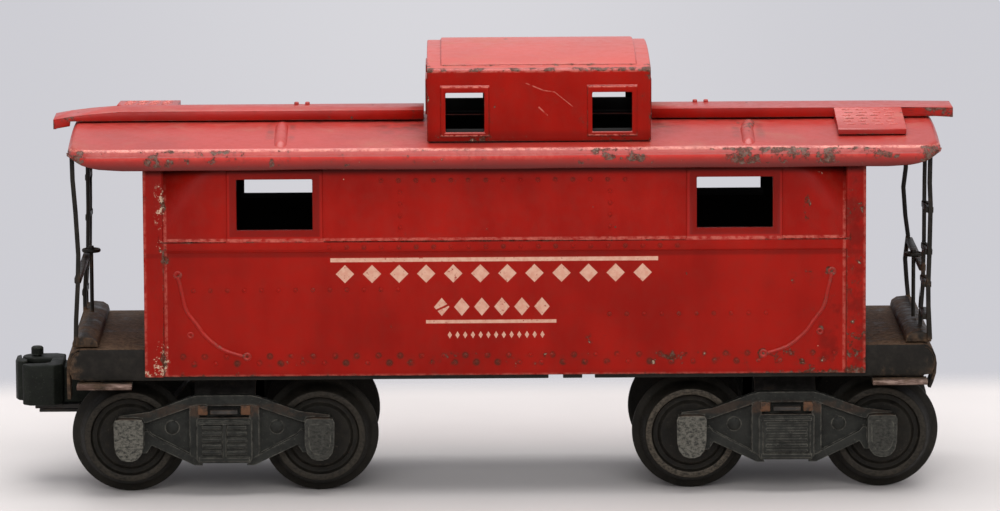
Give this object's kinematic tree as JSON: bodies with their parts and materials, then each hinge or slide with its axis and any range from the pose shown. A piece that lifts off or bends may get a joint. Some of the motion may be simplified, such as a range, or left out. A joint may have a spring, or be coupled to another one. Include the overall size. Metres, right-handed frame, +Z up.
{
  "type": "model caboose",
  "caption": "Worn stamped-steel toy caboose with a cupola, roof walkway, end platforms, swivelling trucks with free-rolling wheels and a knuckle coupler at one end.",
  "frame": {"origin": "on the plane the wheels stand on, under the middle of the whole object's box, which is 4.55 mm to the coupler's side of the middle of the body", "axes": "+X along the car, away from the coupler; +Y to the far side as pictured; +Z up"},
  "size_m": [0.1976, 0.058, 0.0925],
  "materials": {
    "red_enamel": "worn satin red enamel over steel sheet",
    "black_enamel": "worn black enamel, rusted brown on the decks",
    "blackened_diecast": "chemically blackened die-cast zinc, rubbed grey on edges",
    "bare_steel": "dull plated steel",
    "blued_steel": "blued steel sheet with rust at the ends"
  },
  "bodies": {
    "car": {"body_shell": "red_enamel", "roof": "red_enamel", "cupola": "red_enamel", "roofwalk_left": "red_enamel", "roofwalk_right": "red_enamel", "frame": "black_enamel", "step_left_near": "black_enamel", "step_left_far": "black_enamel", "step_right_near": "black_enamel", "step_right_far": "black_enamel", "railing_left": "black_enamel", "railing_right": "black_enamel", "brake_wheel_left": "black_enamel", "brake_wheel_right": "black_enamel", "bracket_left": "black_enamel", "bracket_right": "black_enamel", "king_pin_left": "bare_steel", "king_pin_right": "bare_steel", "king_clip_left": "bare_steel", "king_clip_right": "bare_steel"},
    "truck_left": {"bolster_left": "blued_steel", "sideframe_left_near": "blackened_diecast", "sideframe_left_far": "blackened_diecast", "axle_left_outer": "bare_steel", "axle_left_inner": "bare_steel", "coupler_drawbar": "blued_steel", "coupler_head": "blackened_diecast", "coupler_pin": "bare_steel"},
    "truck_right": {"bolster_right": "blued_steel", "sideframe_right_near": "blackened_diecast", "sideframe_right_far": "blackened_diecast", "axle_right_outer": "bare_steel", "axle_right_inner": "bare_steel"},
    "wheel_left_outer_near_body": {"wheel_left_outer_near": "blackened_diecast"},
    "wheel_left_outer_far_body": {"wheel_left_outer_far": "blackened_diecast"},
    "wheel_left_inner_near_body": {"wheel_left_inner_near": "blackened_diecast"},
    "wheel_left_inner_far_body": {"wheel_left_inner_far": "blackened_diecast"},
    "wheel_right_outer_near_body": {"wheel_right_outer_near": "blackened_diecast"},
    "wheel_right_outer_far_body": {"wheel_right_outer_far": "blackened_diecast"},
    "wheel_right_inner_near_body": {"wheel_right_inner_near": "blackened_diecast"},
    "wheel_right_inner_far_body": {"wheel_right_inner_far": "blackened_diecast"},
    "knuckle": {"coupler_knuckle": "blackened_diecast"},
    "uncoupler": {"coupler_flap": "blued_steel", "coupler_button": "bare_steel"}
  },
  "joints": [
    {"name": "truck_left_swivel", "type": "hinge", "parent": "car", "child": "truck_left", "pos_m": [-0.054, 0, 0.0234], "axis": [0, 0, 1], "range_deg": [-15, 15]},
    {"name": "truck_right_swivel", "type": "hinge", "parent": "car", "child": "truck_right", "pos_m": [0.0631, 0, 0.0234], "axis": [0, 0, 1], "range_deg": [-15, 15]},
    {"name": "wheel_left_outer_near_spin", "type": "hinge", "parent": "truck_left", "child": "wheel_left_outer_near_body", "pos_m": [-0.07385, -0.0168, 0.0122], "axis": [0, 1, 0], "continuous": true},
    {"name": "wheel_left_outer_far_spin", "type": "hinge", "parent": "truck_left", "child": "wheel_left_outer_far_body", "pos_m": [-0.07385, 0.0168, 0.0122], "axis": [0, 1, 0], "continuous": true},
    {"name": "wheel_left_inner_near_spin", "type": "hinge", "parent": "truck_left", "child": "wheel_left_inner_near_body", "pos_m": [-0.03415, -0.0168, 0.0122], "axis": [0, 1, 0], "continuous": true},
    {"name": "wheel_left_inner_far_spin", "type": "hinge", "parent": "truck_left", "child": "wheel_left_inner_far_body", "pos_m": [-0.03415, 0.0168, 0.0122], "axis": [0, 1, 0], "continuous": true},
    {"name": "wheel_right_outer_near_spin", "type": "hinge", "parent": "truck_right", "child": "wheel_right_outer_near_body", "pos_m": [0.08295, -0.0168, 0.0122], "axis": [0, 1, 0], "continuous": true},
    {"name": "wheel_right_outer_far_spin", "type": "hinge", "parent": "truck_right", "child": "wheel_right_outer_far_body", "pos_m": [0.08295, 0.0168, 0.0122], "axis": [0, 1, 0], "continuous": true},
    {"name": "wheel_right_inner_near_spin", "type": "hinge", "parent": "truck_right", "child": "wheel_right_inner_near_body", "pos_m": [0.04325, -0.0168, 0.0122], "axis": [0, 1, 0], "continuous": true},
    {"name": "wheel_right_inner_far_spin", "type": "hinge", "parent": "truck_right", "child": "wheel_right_inner_far_body", "pos_m": [0.04325, 0.0168, 0.0122], "axis": [0, 1, 0], "continuous": true},
    {"name": "knuckle_hinge", "type": "hinge", "parent": "truck_left", "child": "knuckle", "pos_m": [-0.0944, 0.0046, 0.0212], "axis": [0, 0, -1], "range_deg": [0, 40]},
    {"name": "uncoupler_hinge", "type": "hinge", "parent": "truck_left", "child": "uncoupler", "pos_m": [-0.0932, 0, 0.0152], "axis": [0, 1, 0], "range_deg": [0, 10], "stiffness_Nm_per_rad": 0.01, "springref_deg": -5.73}
  ]
}
